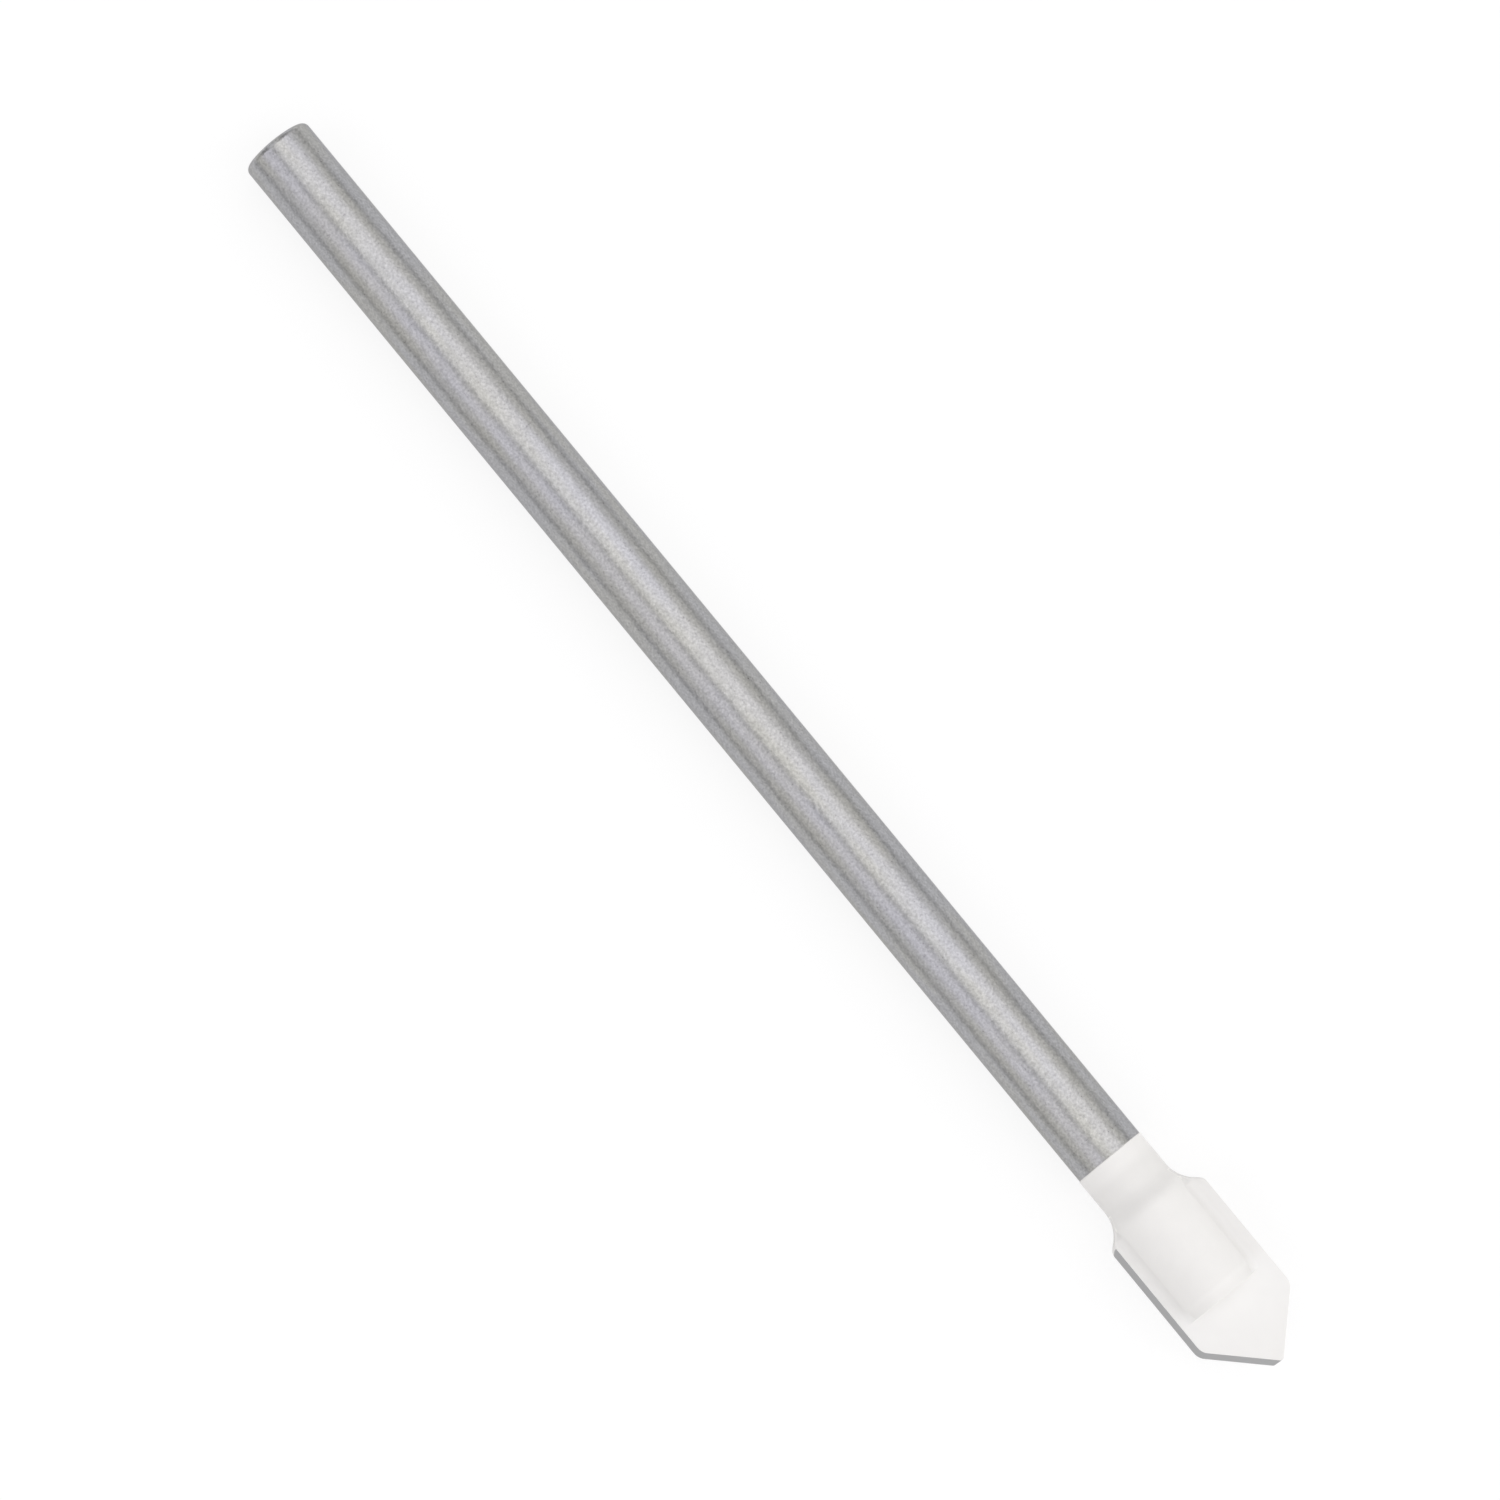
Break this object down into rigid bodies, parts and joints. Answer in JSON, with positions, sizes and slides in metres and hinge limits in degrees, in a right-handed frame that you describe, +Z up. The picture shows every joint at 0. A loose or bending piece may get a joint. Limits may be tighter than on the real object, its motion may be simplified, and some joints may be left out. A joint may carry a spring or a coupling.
{
  "type": "glass and tile drill bit",
  "caption": "Spear-point drill bit for glass and tile: a ground steel shank with a slotted, flared head and a brazed carbide blade with relief-ground lips.",
  "frame": {"origin": "on the surface that the bit lies on, under the middle of its overall length and width", "axes": "+X along the bit's axis towards the point, +Y across the blade, +Z up, square to the blade's faces"},
  "size_m": [0.0846, 0.0064, 0.0047],
  "materials": {
    "ground_steel": "satin ground, pale and blasted from the neck on",
    "carbide": "fine ground, pale and matte",
    "braze": "as brazed, satin"
  },
  "bodies": {
    "root": {"shank": "ground_steel", "carbide_tip": "carbide", "silver_braze": "braze"}
  },
  "joints": []
}
